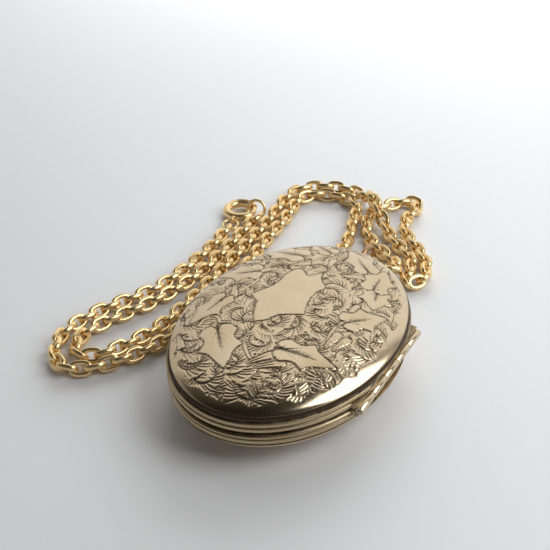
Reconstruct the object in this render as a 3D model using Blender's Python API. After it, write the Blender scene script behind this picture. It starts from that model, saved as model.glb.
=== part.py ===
"""An oval engraved locket with a hinged cover, its bail ring, trace chain and bolt ring.

The back half lies on its dome.  The origin is the centre of the small flat at the
bottom of the back dome, +Z is up through the locket, +Y points to the bail and +X to
the hinge.  Lengths below are in millimetres and are turned into metres by MM.
"""
import bmesh
import bpy
import math
from mathutils import Matrix, Vector

MM = 0.001

# --- driving dimensions of the case -------------------------------------------------
HALF_LENGTH = 20.0          # centre to the outside of the rim, along Y
HALF_WIDTH = 15.0           # centre to the outside of the rim, along X
SEAM_Z = 5.0                # height of the seam between the halves
SEAM_GAP = 0.05             # each rim stops this far from the seam
RIM_HEIGHT = 1.95           # each rim's height from the seam
FRONT_DOME_TOP = 5.2        # dome height above the seam
BACK_DOME_DEPTH = 5.0       # dome depth below the seam, to its flat
BACK_DOME_FULL = 5.06       # the same without the flat
SHEET = 0.5                 # thickness of the domed sheets
SOLDER_GAP = 0.03           # hairline between two soldered pieces
OVAL_STEPS = 56

# --- insets from the outline, towards the centre ------------------------------------
DOME_EDGE = 0.30
RIM_INNER = 1.35
BEZEL_OUTER = 1.42
BEZEL_INNER = 1.75
BEZEL_TOP = 0.70            # the snap bezel stands this far above the seam
LEDGE_INNER = 3.0
LEDGE_HEIGHT = 1.0          # underside of the cover's inner ledge, from the seam

# --- photo frames, panes and blank cards ---------------------------------------------
# A frame is its outer and inner inset, then its foot and face, measured from the seam.
BACK_FRAME = (1.80, 3.1, -1.17, -0.12)
FRONT_FRAME = (2.05, 3.2, 0.97, 0.18)
FRAME_WALL = 0.6
FRAME_LIP = 0.23
FRAME_CHAMFER = 0.1
BACK_PANE_INSET = 2.43
BACK_PANE = (-0.72, -0.38)
BACK_CARD = (-1.10, -0.78)
FRONT_PANE_INSET = 2.68
FRONT_PANE = (0.44, 0.68)
FRONT_CARD = (0.72, 0.95)

# --- catch and nail lip ----------------------------------------------------------------
CATCH_HALF = 1.4            # half the length of the catch bead
CATCH_REACH = 0.12          # how far it stands out of the bezel
CATCH_HEIGHTS = (0.25, 0.55)
CATCH_PLAY = 0.2            # the recess is this much longer at each end
RECESS_DEPTH = 0.16
RECESS_HEIGHTS = (0.12, 0.72)
NAIL_LIP_REACH = 0.85
NAIL_LIP_HALF = 2.2
NAIL_LIP_HEIGHTS = (0.28, 0.70)

# --- hinge ---------------------------------------------------------------------------
HINGE_X = 14.35
HINGE_LENGTH = 18.0
KNUCKLES = 5
KNUCKLE_GAP = 0.06
KNUCKLE_RADIUS = 0.56
PIN_RADIUS = 0.24
PIN_CLEARANCE = 0.05
SEAT_RADIUS = 0.64
SEAT_TRIM_X = 14.23         # both rims are flat beyond the axis, so that the cover can turn
SEAT_END_PLAY = 0.06
STRIP_INNER_X = 11.5        # the strip that fills the space between rim and knuckles
STRIP_LIFT = 0.5
STRIP_HALF_HEIGHT = 0.4
PIN_END = 0.12              # the pin stands this far out of the outer knuckles

# --- lug and bail ring ---------------------------------------------------------------
LUG_Y = 21.05
LUG_DROP = 0.5              # the lug sits this far below the seam
LUG_RADIUS = 1.2
LUG_WIRE = 0.42
LUG_FOOT_HALF = 1.1
LUG_FOOT_HALF_HEIGHT = 0.36
BAIL_RADIUS = 2.6
BAIL_WIRE = 0.40
BAIL_PLAY = 0.06
BAIL_ANGLE = math.radians(58.5)   # the ring leans down until it meets the table

# --- chain ---------------------------------------------------------------------------
CHAIN_DIAMETER = 2.0
CHAIN_Z = 1.02              # the chain's axis where it lies on the table
THREADED_HALF = 2.15       # half the length of the links inside the bail ring
THREADED_Y = 24.15
THREADED_Z = 2.55
CHAIN_LEFT_STEP = 2.2
CHAIN_RIGHT_STEP = 2.7

# --- bolt ring -----------------------------------------------------------------------
CLASP_X = -26.75
CLASP_Y = 30.3
CLASP_Z = 0.95
CLASP_RADIUS = 2.3
CLASP_TUBE = 0.72
CLASP_BORE = 0.50
BOLT_RADIUS = 0.42
MOUTH_TURN = math.radians(15.0)   # direction of the mouth, from +X
MOUTH_HALF = math.radians(35.0)
EYE_TURN = math.radians(-80.0)    # direction of the eye, towards the chain's end
EYE_RADIUS = 0.58
EYE_WIRE = 0.22
LINK_RADIUS = 1.25                # the small ring between the eye and the chain
LINK_WIRE = 0.24
SLOT_RANGE = (math.radians(38), math.radians(118))
SLOT_HALF_WIDTH = 0.22
BOLT_RANGE = (math.radians(-37), math.radians(92))
KNOB_TURN = math.radians(46)
KNOB_RADIUS = 0.15
KNOB_TOP = 1.15
SPRING_RANGE = (math.radians(158), math.radians(214))
SPRING_TURNS = 9
SPRING_RADIUS = 0.33
SPRING_WIRE = 0.08
END_RING_RADIUS = 1.5
END_RING_WIRE = 0.25
END_RING_LEAN = math.radians(-24)

# Routes of the two runs: x, y and, where it isn't lying on the table, z
CHAIN_LEFT_ROUTE = [
    (-2.98, 24.15, 2.55), (-4.0, 24.3, 2.35), (-5.3, 25.3, 1.8), (-6.1, 27.2, 1.25),
    (-6.5, 29.4), (-7.0, 31.8), (-7.9, 34.4), (-8.7, 36.9), (-9.4, 39.3), (-10.9, 41.3),
    (-13.0, 42.2), (-15.3, 41.9), (-17.4, 41.0), (-19.1, 39.3), (-19.6, 37.0),
    (-19.2, 34.3), (-18.8, 31.4), (-18.5, 28.2), (-18.2, 24.4), (-17.7, 20.4),
    (-17.1, 16.0), (-16.8, 11.5), (-16.8, 7.5), (-16.9, 3.5), (-17.1, -0.6),
    (-17.6, -4.3), (-18.5, -7.5), (-19.7, -10.2), (-21.2, -12.5), (-22.8, -14.5),
    (-24.6, -15.9), (-26.8, -16.4), (-29.0, -15.2), (-30.6, -12.9), (-31.2, -10.2),
    (-31.0, -7.4), (-30.2, -4.6), (-28.9, -1.6), (-27.3, 1.7), (-25.9, 5.2),
    (-25.2, 10.0), (-24.9, 15.0), (-25.0, 19.5), (-25.6, 23.9),
]
CHAIN_RIGHT_ROUTE = [
    (3.1, 24.15, 2.55), (3.7, 24.15, 2.52), (4.2, 24.8, 2.35), (3.8, 26.1, 1.95), (3.0, 27.3, 1.5),
    (1.7, 28.5, 1.1), (0.1, 29.7), (-1.7, 30.9), (-3.5, 32.4), (-5.1, 34.4),
    (-6.3, 37.0), (-6.8, 39.6), (-6.2, 42.1), (-4.9, 44.2), (-3.2, 45.9), (-1.8, 46.3),
    (-0.9, 45.1), (-0.9, 42.8), (-0.8, 40.3), (0.1, 37.9), (1.7, 35.8), (3.6, 34.0),
    (5.5, 32.1), (7.1, 29.9), (8.0, 27.6), (8.0, 25.7), (7.2, 24.4), (6.2, 24.5),
    (5.8, 25.8), (5.5, 27.6), (4.7, 29.6), (3.0, 31.5), (1.0, 33.0), (-1.0, 34.8),
    (-2.8, 36.7, 1.3), (-4.2, 38.0, 2.0), (-5.4, 39.1, 2.75), (-6.8, 40.5, 3.2),
    (-8.0, 41.8, 2.85), (-9.2, 43.0, 2.0), (-10.7, 44.1, 1.3), (-13.0, 44.9),
    (-15.7, 44.7), (-18.6, 43.5), (-21.0, 41.2), (-21.8, 37.8), (-21.4, 33.4),
    (-20.8, 28.8), (-20.5, 24.0), (-20.2, 19.0), (-20.0, 14.0), (-19.8, 9.4),
    (-19.7, 5.0), (-19.8, 1.2), (-20.1, -2.4), (-20.9, -5.8), (-22.0, -8.6),
    (-23.1, -11.0), (-24.5, -12.7), (-26.2, -13.2), (-27.7, -12.3), (-28.4, -10.4),
    (-28.3, -8.0), (-27.5, -5.4), (-26.3, -2.6), (-24.9, 0.6), (-23.6, 4.7),
    (-22.75, 9.2), (-22.4, 14.0), (-22.5, 18.8), (-22.7, 23.4), (-23.0, 27.0),
    (-23.0, 29.6),
]

PALE_GOLD = (0.80, 0.62, 0.43)
RICH_GOLD = (0.86, 0.58, 0.24)
STEEL = (0.55, 0.55, 0.56)


def clear_scene():
    for thing in list(bpy.data.objects):
        bpy.data.objects.remove(thing, do_unlink=True)


def make_material(name, colour, roughness, metallic):
    material = bpy.data.materials.new(name)
    material.use_nodes = True
    shader = material.node_tree.nodes["Principled BSDF"]
    shader.inputs["Base Color"].default_value = (*colour, 1.0)
    shader.inputs["Roughness"].default_value = roughness
    shader.inputs["Metallic"].default_value = metallic
    return material


def place(name, mesh, material, parent=None, pivot=(0, 0, 0)):
    """Link a mesh object; its vertices are given in the world, its origin is the pivot."""
    thing = bpy.data.objects.new(name, mesh)
    bpy.context.scene.collection.objects.link(thing)
    mesh.materials.append(material)
    offset = Vector(pivot) * MM
    mesh.transform(Matrix.Translation(-offset))
    thing.location = offset
    if parent is not None:
        thing.parent = parent
        thing.matrix_parent_inverse = Matrix.Translation(-parent.location)
    mesh.shade_smooth()
    mesh.set_sharp_from_angle(angle=math.radians(35))
    return thing


def make_pivot(name, x, y, z):
    pivot = bpy.data.objects.new(name, None)
    pivot.location = Vector((x, y, z)) * MM
    bpy.context.scene.collection.objects.link(pivot)
    return pivot


def mesh_from_loops(name, loops, closed):
    """Bridge equal loops of points; the ends are capped, or joined when closed."""
    shape = bmesh.new()
    rings = [[shape.verts.new(Vector(point) * MM) for point in loop] for loop in loops]
    pairs = list(zip(rings, rings[1:]))
    if closed:
        pairs.append((rings[-1], rings[0]))
    for first, second in pairs:
        for i in range(len(first)):
            j = (i + 1) % len(first)
            shape.faces.new((first[i], first[j], second[j], second[i]))
    if not closed:
        shape.faces.new(rings[0])
        shape.faces.new(rings[-1])
    bmesh.ops.recalc_face_normals(shape, faces=shape.faces)
    mesh = bpy.data.meshes.new(name)
    shape.to_mesh(mesh)
    shape.free()
    return mesh


def oval_loop(half_width, half_length, z):
    steps = (2 * math.pi * i / OVAL_STEPS for i in range(OVAL_STEPS))
    return [(half_width * math.cos(t), half_length * math.sin(t), z) for t in steps]


def inset_loop(inset, height):
    """The outline moved inwards, at a height measured from the seam."""
    return oval_loop(HALF_WIDTH - inset, HALF_LENGTH - inset, SEAM_Z + height)


def oval_ring(name, profile):
    """A ring whose cross-section is a closed list of (inset, height)."""
    return mesh_from_loops(name, [inset_loop(*point) for point in profile], closed=True)


def oval_plate(name, inset, low, high):
    return mesh_from_loops(name, [inset_loop(inset, low), inset_loop(inset, high)], closed=False)


def dome_shell(name, side, full, cap, outer_steps=7, inner_steps=4):
    """A domed sheet. side is +1 up or -1 down, full its height, cut off flat at cap."""
    base = RIM_HEIGHT + SOLDER_GAP
    rise = full - base
    outer_end = math.asin(min((cap - base) / rise, 0.995))
    inner_end = math.asin(min((cap - base) / rise, 0.99))
    loops = []
    for i in range(outer_steps + 1):
        turn = outer_end * (1 - i / outer_steps)
        u = math.cos(turn)
        loops.append(oval_loop((HALF_WIDTH - DOME_EDGE) * u, (HALF_LENGTH - DOME_EDGE) * u,
                               SEAM_Z + side * (base + rise * math.sin(turn))))
    inner = DOME_EDGE + SHEET
    for i in range(inner_steps + 1):
        turn = inner_end * i / inner_steps
        u = math.cos(turn)
        loops.append(oval_loop((HALF_WIDTH - inner) * u, (HALF_LENGTH - inner) * u,
                               SEAM_Z + side * (base + (rise - SHEET) * math.sin(turn))))
    return mesh_from_loops(name, loops, closed=False)


def rod(name, start, end, radius, sides=20, bore=0.0):
    """A round bar from start to end, or a tube when bore is given."""
    start, end = Vector(start), Vector(end)
    turn = (end - start).to_track_quat("Z", "Y").to_matrix()
    angles = [2 * math.pi * i / sides for i in range(sides)]

    def circle(centre, r):
        return [centre + turn @ Vector((r * math.cos(a), r * math.sin(a), 0)) for a in angles]

    if bore:
        loops = [circle(start, radius), circle(end, radius), circle(end, bore), circle(start, bore)]
        return mesh_from_loops(name, loops, closed=True)
    return mesh_from_loops(name, [circle(start, radius), circle(end, radius)], closed=False)


def torus(name, centre, radius, wire, turn, around=32, sides=10):
    """A ring of round wire; turn takes the flat ring's frame to its own."""
    loops = []
    for i in range(around):
        a = 2 * math.pi * i / around
        loops.append([
            Vector(centre) + turn @ Vector((
                (radius + wire * math.cos(b)) * math.cos(a),
                (radius + wire * math.cos(b)) * math.sin(a),
                wire * math.sin(b)))
            for b in (2 * math.pi * j / sides for j in range(sides))])
    return mesh_from_loops(name, loops, closed=True)


def arc_bar(name, start, end, wire, bore=0.0, around=20, sides=12, lift=0.0):
    """A bar, or with a bore a tube, bent along the bolt ring's circle."""
    centre = Vector((CLASP_X, CLASP_Y, CLASP_Z + lift))

    def circle(a, r):
        return [centre + Vector((
            (CLASP_RADIUS + r * math.cos(b)) * math.cos(a),
            (CLASP_RADIUS + r * math.cos(b)) * math.sin(a),
            r * math.sin(b))) for b in (2 * math.pi * j / sides for j in range(sides))]

    angles = [MOUTH_TURN + start + (end - start) * i / around for i in range(around + 1)]
    loops = [circle(a, wire) for a in angles]
    if bore:
        loops += [circle(a, bore) for a in reversed(angles)]
        return mesh_from_loops(name, loops, closed=True)
    return mesh_from_loops(name, loops, closed=False)


def box(name, low, high):
    corners = [(low[0], low[1]), (high[0], low[1]), (high[0], high[1]), (low[0], high[1])]
    return mesh_from_loops(name, [[(x, y, z) for x, y in corners] for z in (low[2], high[2])],
                           closed=False)


def combine(target, tool_mesh, operation):
    """Add an EXACT boolean whose tool is a hidden wire object."""
    tool = bpy.data.objects.new(tool_mesh.name, tool_mesh)
    bpy.context.scene.collection.objects.link(tool)
    tool.hide_render = True
    tool.display_type = "WIRE"
    modifier = target.modifiers.new(operation.title(), "BOOLEAN")
    modifier.operation = operation
    modifier.object = tool
    modifier.solver = "EXACT"


def rim_profile(side, inner):
    """Two beads with a groove between them; side is +1 for the cover, -1 for the back."""
    outside = [(0.14, SEAM_GAP), (0.0, 0.30), (0.0, 0.66), (0.14, 0.90), (0.32, 1.00),
               (0.32, 1.14), (0.10, 1.34), (0.10, 1.68), (0.28, RIM_HEIGHT)]
    return [(inset, side * height) for inset, height in outside + inner]


def add_hinge_seat(rim, side):
    """The strip between rim and knuckles, hollowed for them and trimmed beyond the axis."""
    half = HINGE_LENGTH / 2
    name = rim.name
    middle = SEAM_Z + side * STRIP_LIFT
    strip_mesh = box(name + "_strip", (STRIP_INNER_X, -half, middle - STRIP_HALF_HEIGHT),
                     (SEAT_TRIM_X - 0.02, half, middle + STRIP_HALF_HEIGHT))
    strip = place(name + "_strip", strip_mesh, rim.data.materials[0])
    strip.hide_render = True
    strip.display_type = "WIRE"
    inside = oval_plate(name + "_inside", RIM_INNER - 0.35, -3.0, 3.0)
    combine(strip, inside, "DIFFERENCE")
    union = rim.modifiers.new("Seat", "BOOLEAN")
    union.operation = "UNION"
    union.object = strip
    union.solver = "EXACT"
    end = half + SEAT_END_PLAY
    hollow = rod(name + "_hollow", (HINGE_X, -end, SEAM_Z), (HINGE_X, end, SEAM_Z),
                 SEAT_RADIUS, sides=24)
    combine(rim, hollow, "DIFFERENCE")
    trim = box(name + "_trim", (SEAT_TRIM_X, -end, SEAM_Z - 3), (17, end, SEAM_Z + 3))
    combine(rim, trim, "DIFFERENCE")


def add_knuckles(gold, cover_pivot):
    """Odd knuckles belong to the back, even ones to the cover."""
    pitch = HINGE_LENGTH / KNUCKLES
    bore = PIN_RADIUS + PIN_CLEARANCE
    counts = {"back": 0, "front": 0}
    for i in range(KNUCKLES):
        half = "front" if i % 2 else "back"
        counts[half] += 1
        name = f"{half}_knuckle_{counts[half]}"
        start = -HINGE_LENGTH / 2 + i * pitch + KNUCKLE_GAP / 2
        tube = rod(name, (HINGE_X, start, SEAM_Z), (HINGE_X, start + pitch - KNUCKLE_GAP, SEAM_Z),
                   KNUCKLE_RADIUS, bore=bore)
        place(name, tube, gold, cover_pivot if half == "front" else None)


def add_back_half(gold, steel, pane, card):
    rim_inner = [(0.95, RIM_HEIGHT), (RIM_INNER, RIM_HEIGHT), (RIM_INNER, SEAM_GAP)]
    rim = place("back_rim", oval_ring("back_rim", rim_profile(-1, rim_inner)), gold)
    add_hinge_seat(rim, -1)
    place("back_cover", dome_shell("back_cover", -1, BACK_DOME_FULL, BACK_DOME_DEPTH), gold)
    place("snap_bezel", oval_ring("snap_bezel", [
        (BEZEL_OUTER, -1.5), (BEZEL_OUTER, BEZEL_TOP - 0.1), (BEZEL_OUTER + 0.12, BEZEL_TOP),
        (BEZEL_INNER, BEZEL_TOP), (BEZEL_INNER, -1.2), (LEDGE_INNER, -1.2),
        (LEDGE_INNER, -1.5)]), gold)
    add_catch_bead(gold)
    place("back_photo_frame", photo_frame("back_photo_frame", *BACK_FRAME, 1), gold)
    place("back_crystal", oval_plate("back_crystal", BACK_PANE_INSET, *BACK_PANE), pane)
    place("back_photo_card", oval_plate("back_photo_card", BACK_PANE_INSET, *BACK_CARD), card)
    pin_end = HINGE_LENGTH / 2 + PIN_END
    pin = rod("hinge_pin", (HINGE_X, -pin_end, SEAM_Z), (HINGE_X, pin_end, SEAM_Z), PIN_RADIUS, sides=16)
    place("hinge_pin", pin, steel)


def photo_frame(name, outer, inner, foot, face, side):
    """A ring with a lip over the pane; side is +1 when its face points up."""
    wall = outer + FRAME_WALL
    lip = face - side * FRAME_LIP
    edge = face - side * FRAME_CHAMFER
    return oval_ring(name, [(outer, foot), (outer, edge), (outer + FRAME_CHAMFER, face),
                            (inner - FRAME_CHAMFER, face), (inner, edge), (inner, lip),
                            (wall, lip), (wall, foot)])


def add_catch_bead(gold):
    """A small half-round bar on the bezel, opposite the hinge."""
    x = -(HALF_WIDTH - BEZEL_OUTER) - SOLDER_GAP
    low, high = CATCH_HEIGHTS
    bead = box("catch_bead", (x - CATCH_REACH, -CATCH_HALF, SEAM_Z + low), (x, CATCH_HALF, SEAM_Z + high))
    place("catch_bead", bead, gold)


def add_cover(gold, pane, card, pivot):
    rim_inner = [(0.95, RIM_HEIGHT), (1.2, RIM_HEIGHT), (LEDGE_INNER, RIM_HEIGHT - 0.55),
                 (LEDGE_INNER, LEDGE_HEIGHT), (RIM_INNER, LEDGE_HEIGHT), (RIM_INNER, SEAM_GAP)]
    rim = place("front_rim", oval_ring("front_rim", rim_profile(1, rim_inner)), gold, pivot)
    add_hinge_seat(rim, 1)
    wall_x = -(HALF_WIDTH - RIM_INNER)
    reach = CATCH_HALF + CATCH_PLAY
    low, high = RECESS_HEIGHTS
    recess = box("catch_recess", (wall_x - RECESS_DEPTH, -reach, SEAM_Z + low),
                 (wall_x + 0.5, reach, SEAM_Z + high))
    combine(rim, recess, "DIFFERENCE")
    place("front_cover", dome_shell("front_cover", 1, FRONT_DOME_TOP, FRONT_DOME_TOP), gold, pivot)
    place("front_photo_frame", photo_frame("front_photo_frame", *FRONT_FRAME, -1), gold, pivot)
    place("front_crystal", oval_plate("front_crystal", FRONT_PANE_INSET, *FRONT_PANE), pane, pivot)
    front_card = oval_plate("front_photo_card", FRONT_PANE_INSET, *FRONT_CARD)
    place("front_photo_card", front_card, card, pivot)
    add_nail_lip(gold, pivot)


def add_nail_lip(gold, pivot):
    """A small rounded tab on the side opposite the hinge."""
    loops = []
    for height in NAIL_LIP_HEIGHTS:
        arc = []
        for i in range(13):
            a = math.pi / 2 + math.pi * i / 12
            arc.append((-HALF_WIDTH - SOLDER_GAP + NAIL_LIP_REACH * math.cos(a),
                        NAIL_LIP_HALF * math.sin(a), SEAM_Z + height))
        loops.append(arc)
    place("nail_lip", mesh_from_loops("nail_lip", loops, closed=False), gold, pivot)


def add_lug_and_bail(gold, chain_gold, bail_pivot):
    lug_z = SEAM_Z - LUG_DROP
    flat = Matrix.Identity(3)
    lug = place("bail_lug", torus("bail_lug", (0, LUG_Y, lug_z), LUG_RADIUS, LUG_WIRE, flat, 24, 8), gold)
    rim_side = oval_plate("lug_seat", -SOLDER_GAP, -3, 3)
    foot = box("lug_foot", (-LUG_FOOT_HALF, HALF_LENGTH - 1.2, lug_z - LUG_FOOT_HALF_HEIGHT),
               (LUG_FOOT_HALF, HALF_LENGTH + 0.3, lug_z + LUG_FOOT_HALF_HEIGHT))
    combine(lug, foot, "UNION")
    combine(lug, rim_side, "DIFFERENCE")
    pivot_y, pivot_z = bail_pivot_place()
    reach = BAIL_RADIUS - LUG_WIRE - BAIL_WIRE - BAIL_PLAY
    centre = (0, pivot_y + reach * math.cos(BAIL_ANGLE), pivot_z - reach * math.sin(BAIL_ANGLE))
    upright = Matrix.Rotation(math.radians(90), 3, "Y")
    ring = torus("bail_ring", centre, BAIL_RADIUS, BAIL_WIRE, upright, 30, 8)
    place("bail_ring", ring, gold, bail_pivot)
    run = rod("threaded_chain", (-THREADED_HALF, THREADED_Y, THREADED_Z),
              (THREADED_HALF, THREADED_Y, THREADED_Z), CHAIN_DIAMETER / 2, sides=12)
    place("threaded_chain", run, chain_gold, bail_pivot)


def bail_pivot_place():
    return LUG_Y + LUG_RADIUS, SEAM_Z - LUG_DROP


def smooth_route(route, step):
    """Even points along a Catmull-Rom curve through the route."""
    points = [Vector((p[0], p[1], p[2] if len(p) > 2 else CHAIN_Z)) for p in route]
    points = [2 * points[0] - points[1], *points, 2 * points[-1] - points[-2]]
    fine = []
    for i in range(1, len(points) - 2):
        a, b, c, d = points[i - 1:i + 3]
        for k in range(24):
            t = k / 24
            fine.append(0.5 * (2 * b + (c - a) * t + (2 * a - 5 * b + 4 * c - d) * t ** 2
                               + (3 * b - a - 3 * c + d) * t ** 3))
    fine.append(points[-2])
    reached = [0.0]
    for first, second in zip(fine, fine[1:]):
        reached.append(reached[-1] + (second - first).length)
    count = math.ceil(reached[-1] / step)
    even = []
    k = 0
    for i in range(count + 1):
        want = reached[-1] * i / count
        while k < len(fine) - 2 and reached[k + 1] < want:
            k += 1
        share = (want - reached[k]) / (reached[k + 1] - reached[k])
        even.append(fine[k].lerp(fine[k + 1], share))
    return even


def add_chain(name, route, step, material):
    curve = bpy.data.curves.new(name, "CURVE")
    curve.dimensions = "3D"
    curve.bevel_depth = CHAIN_DIAMETER / 2 * MM
    curve.bevel_resolution = 2
    curve.use_fill_caps = True
    curve.materials.append(material)
    points = smooth_route(route, step)
    spline = curve.splines.new("POLY")
    spline.points.add(len(points) - 1)
    for control, point in zip(spline.points, points):
        control.co = (*(point * MM), 1.0)
    tube = bpy.data.objects.new(name, curve)
    bpy.context.scene.collection.objects.link(tube)


def clasp_point(turn, distance, z=CLASP_Z):
    return Vector((CLASP_X + distance * math.cos(turn), CLASP_Y + distance * math.sin(turn), z))


def add_clasp(gold, steel, bolt_pivot):
    """The bolt ring: a slotted tube with its eye, the bolt in it and the spring behind."""
    tube = arc_bar("clasp_body", MOUTH_HALF, 2 * math.pi - MOUTH_HALF, CLASP_TUBE, CLASP_BORE, 20, 10)
    body = place("clasp_body", tube, gold)
    slot = arc_bar("clasp_slot", *SLOT_RANGE, SLOT_HALF_WIDTH, around=10, sides=8,
                   lift=CLASP_TUBE - 0.1)
    combine(body, slot, "DIFFERENCE")
    upright = Matrix.Rotation(EYE_TURN, 3, "Z") @ Matrix.Rotation(math.radians(90), 3, "X")
    eye_distance = CLASP_RADIUS + CLASP_TUBE + 0.42
    eye = torus("clasp_eye", clasp_point(EYE_TURN, eye_distance), EYE_RADIUS, EYE_WIRE, upright, 20, 8)
    combine(body, eye, "UNION")
    link_distance = eye_distance + LINK_RADIUS
    tilt = Matrix.Rotation(EYE_TURN, 3, "Z") @ Matrix.Rotation(math.radians(8), 3, "Y")
    link = torus("clasp_link", clasp_point(EYE_TURN, link_distance, CLASP_Z - 0.1),
                 LINK_RADIUS, LINK_WIRE, tilt, 24, 8)
    place("clasp_link", link, gold)
    add_bolt(gold, bolt_pivot)
    add_spring(steel)
    add_end_ring(gold)


def add_bolt(gold, pivot):
    """The curved bolt closes the mouth; its knob rides in the slot."""
    bar = arc_bar("clasp_trigger", *BOLT_RANGE, BOLT_RADIUS, around=16, sides=10)
    bolt = place("clasp_trigger", bar, gold, pivot, (CLASP_X, CLASP_Y, CLASP_Z))
    knob_turn = MOUTH_TURN + KNOB_TURN
    knob = rod("clasp_knob", clasp_point(knob_turn, CLASP_RADIUS),
               clasp_point(knob_turn, CLASP_RADIUS, CLASP_Z + KNOB_TOP), KNOB_RADIUS, sides=10)
    combine(bolt, knob, "UNION")


def add_spring(steel):
    """The spring behind the bolt, drawn pressed together so that the bolt has its travel."""
    steps, sides = 10, 5
    start, end = SPRING_RANGE
    centre = Vector((CLASP_X, CLASP_Y, CLASP_Z))
    loops = []
    for i in range(SPRING_TURNS * steps + 1):
        along = MOUTH_TURN + start + (end - start) * i / (SPRING_TURNS * steps)
        around = 2 * math.pi * i / steps
        out = Vector((math.cos(along), math.sin(along), 0))
        spoke = out * math.cos(around) + Vector((0, 0, 1)) * math.sin(around)
        tangent = Vector((-math.sin(along), math.cos(along), 0))
        middle = centre + out * CLASP_RADIUS + spoke * SPRING_RADIUS
        loops.append([middle + (spoke * math.cos(b) + tangent * math.sin(b)) * SPRING_WIRE
                      for b in (2 * math.pi * j / sides for j in range(sides))])
    place("clasp_spring", mesh_from_loops("clasp_spring", loops, closed=False), steel)


def add_end_ring(gold):
    """The ring on the chain's other end, held by the bolt and leaning on the table."""
    lean = (Matrix.Rotation(MOUTH_TURN, 3, "Z") @ Matrix.Rotation(math.radians(90), 3, "X")
            @ Matrix.Rotation(END_RING_LEAN, 3, "X"))
    centre = clasp_point(MOUTH_TURN, CLASP_RADIUS + 0.42, CLASP_Z + 0.62)
    place("end_ring", torus("end_ring", centre, END_RING_RADIUS, END_RING_WIRE, lean, 24, 8), gold)


def main():
    clear_scene()
    gold = make_material("pale_gold", PALE_GOLD, 0.22, 1.0)
    chain_gold = make_material("rich_gold", RICH_GOLD, 0.25, 1.0)
    steel = make_material("steel", STEEL, 0.35, 1.0)
    pane = make_material("pane", (0.9, 0.92, 0.93), 0.05, 0.0)
    card = make_material("card", (0.83, 0.79, 0.70), 0.7, 0.0)
    cover_pivot = make_pivot("cover_pivot", HINGE_X, 0, SEAM_Z)
    bail_pivot = make_pivot("bail_pivot", 0, *bail_pivot_place())
    bolt_pivot = make_pivot("bolt_pivot", CLASP_X, CLASP_Y, CLASP_Z)
    add_back_half(gold, steel, pane, card)
    add_cover(gold, pane, card, cover_pivot)
    add_knuckles(gold, cover_pivot)
    add_lug_and_bail(gold, chain_gold, bail_pivot)
    add_chain("chain_left", CHAIN_LEFT_ROUTE, CHAIN_LEFT_STEP, chain_gold)
    add_chain("chain_right", CHAIN_RIGHT_ROUTE, CHAIN_RIGHT_STEP, chain_gold)
    add_clasp(chain_gold, steel, bolt_pivot)


main()
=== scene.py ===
"""The engraved oval locket on its chain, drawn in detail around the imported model.

Lengths are in millimetres, in the model's own frame, and are turned into metres by MM.
The back half rests on the floor, +Y points to the bail and +X to the hinge.
"""
import bpy
import bmesh
import math
import numpy as np
from mathutils import Matrix, Vector


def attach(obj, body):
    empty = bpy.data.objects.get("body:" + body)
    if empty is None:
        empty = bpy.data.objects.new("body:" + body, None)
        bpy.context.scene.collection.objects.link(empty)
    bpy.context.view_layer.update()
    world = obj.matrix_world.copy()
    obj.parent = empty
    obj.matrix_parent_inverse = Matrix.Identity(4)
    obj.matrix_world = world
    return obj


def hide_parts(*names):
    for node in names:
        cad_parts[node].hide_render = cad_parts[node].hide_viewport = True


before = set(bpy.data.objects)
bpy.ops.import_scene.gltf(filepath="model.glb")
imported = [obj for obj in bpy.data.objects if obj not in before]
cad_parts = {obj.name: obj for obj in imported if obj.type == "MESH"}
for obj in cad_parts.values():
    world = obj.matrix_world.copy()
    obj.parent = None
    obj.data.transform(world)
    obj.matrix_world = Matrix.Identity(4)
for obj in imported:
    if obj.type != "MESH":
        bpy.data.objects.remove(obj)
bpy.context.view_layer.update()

MM = 0.001

# --- the case, as in the model ---
HALF_LENGTH = 20.0
HALF_WIDTH = 15.0
SEAM_Z = 5.0
SEAM_GAP = 0.05
RIM_HEIGHT = 1.95
FRONT_DOME_TOP = 5.2
BACK_DOME_DEPTH = 5.0
BACK_DOME_FULL = 5.06
SHEET = 0.5
SOLDER_GAP = 0.03
DOME_EDGE = 0.30
RIM_INNER = 1.35
BEZEL_OUTER = 1.42
BEZEL_INNER = 1.75
BEZEL_TOP = 0.70
LEDGE_INNER = 3.0
LEDGE_HEIGHT = 1.0
HINGE_X = 14.35
HINGE_LENGTH = 18.0
KNUCKLES = 5
KNUCKLE_GAP = 0.06
KNUCKLE_RADIUS = 0.56
PIN_RADIUS = 0.24
PIN_CLEARANCE = 0.05
PIN_END = 0.12
SEAT_RADIUS = 0.64
SEAT_TRIM_X = 14.23
LUG_Y = 21.05
LUG_Z = 4.5
LUG_RADIUS = 1.2
LUG_WIRE = 0.42
BAIL_RADIUS = 2.6
BAIL_WIRE = 0.40
BAIL_CENTRE = (0, 23.149, 3.033)
AROUND = 240                # steps round the ovals
SKIRT = 0.005               # what is left open between a dome's foot and its rim
STRIP_X = (11.5, SEAT_TRIM_X - 0.02)    # the flat strip behind the hinge seat
STRIP_MIDDLE = 0.5
STRIP_HALF = 0.4
RECESS_HALF = 1.6           # the cover's hollow for the catch bead
RECESS_HEIGHTS = (0.12, 0.72)

# Inset and height of the rim's outer side: a deep seam, a bead, a groove, a bead, a groove
RIM_PROFILE = [(0.62, SEAM_GAP), (0.34, 0.20), (0.03, 0.40), (0.01, 0.62), (0.09, 0.82),
               (0.24, 0.92), (0.12, 1.04), (0.05, 1.22), (0.05, 1.46), (0.18, 1.64),
               (0.46, 1.76), (0.50, RIM_HEIGHT)]

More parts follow.
